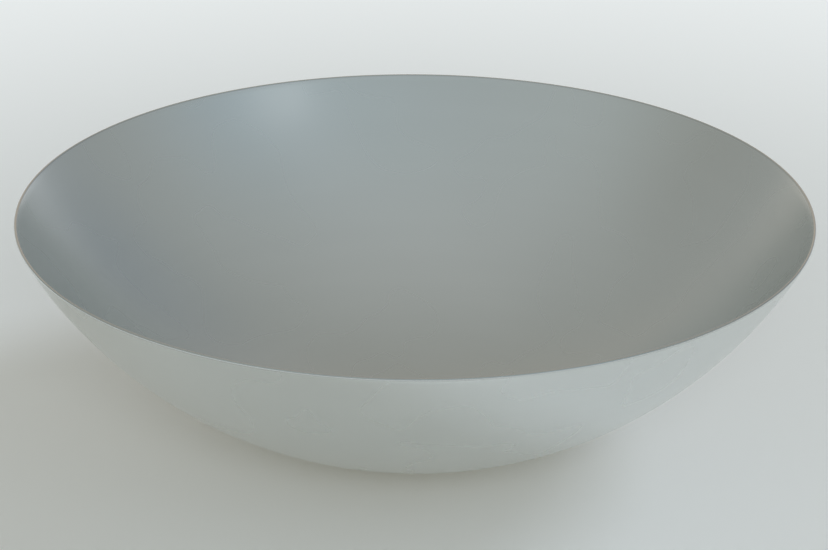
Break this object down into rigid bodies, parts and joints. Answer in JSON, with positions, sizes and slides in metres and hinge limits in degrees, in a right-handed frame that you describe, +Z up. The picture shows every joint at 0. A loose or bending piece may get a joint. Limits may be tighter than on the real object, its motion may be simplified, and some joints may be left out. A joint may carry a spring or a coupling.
{
  "type": "evaporating dish",
  "caption": "Shallow round evaporating dish of thin satin sheet metal, with a spherical wall, a plain rim without a lip, and a small flat to stand on.",
  "frame": {"origin": "centre of the underside of the flat that the dish stands on", "axes": "+Z up along the dish's axis of revolution, out of the bowl; X and Y are equal, because the dish is round"},
  "size_m": [0.1, 0.1, 0.029],
  "materials": {
    "satin_metal": "satin, evenly blasted or scoured, with a slightly brighter filed rim"
  },
  "bodies": {
    "root": {"dish": "satin_metal"}
  },
  "joints": []
}
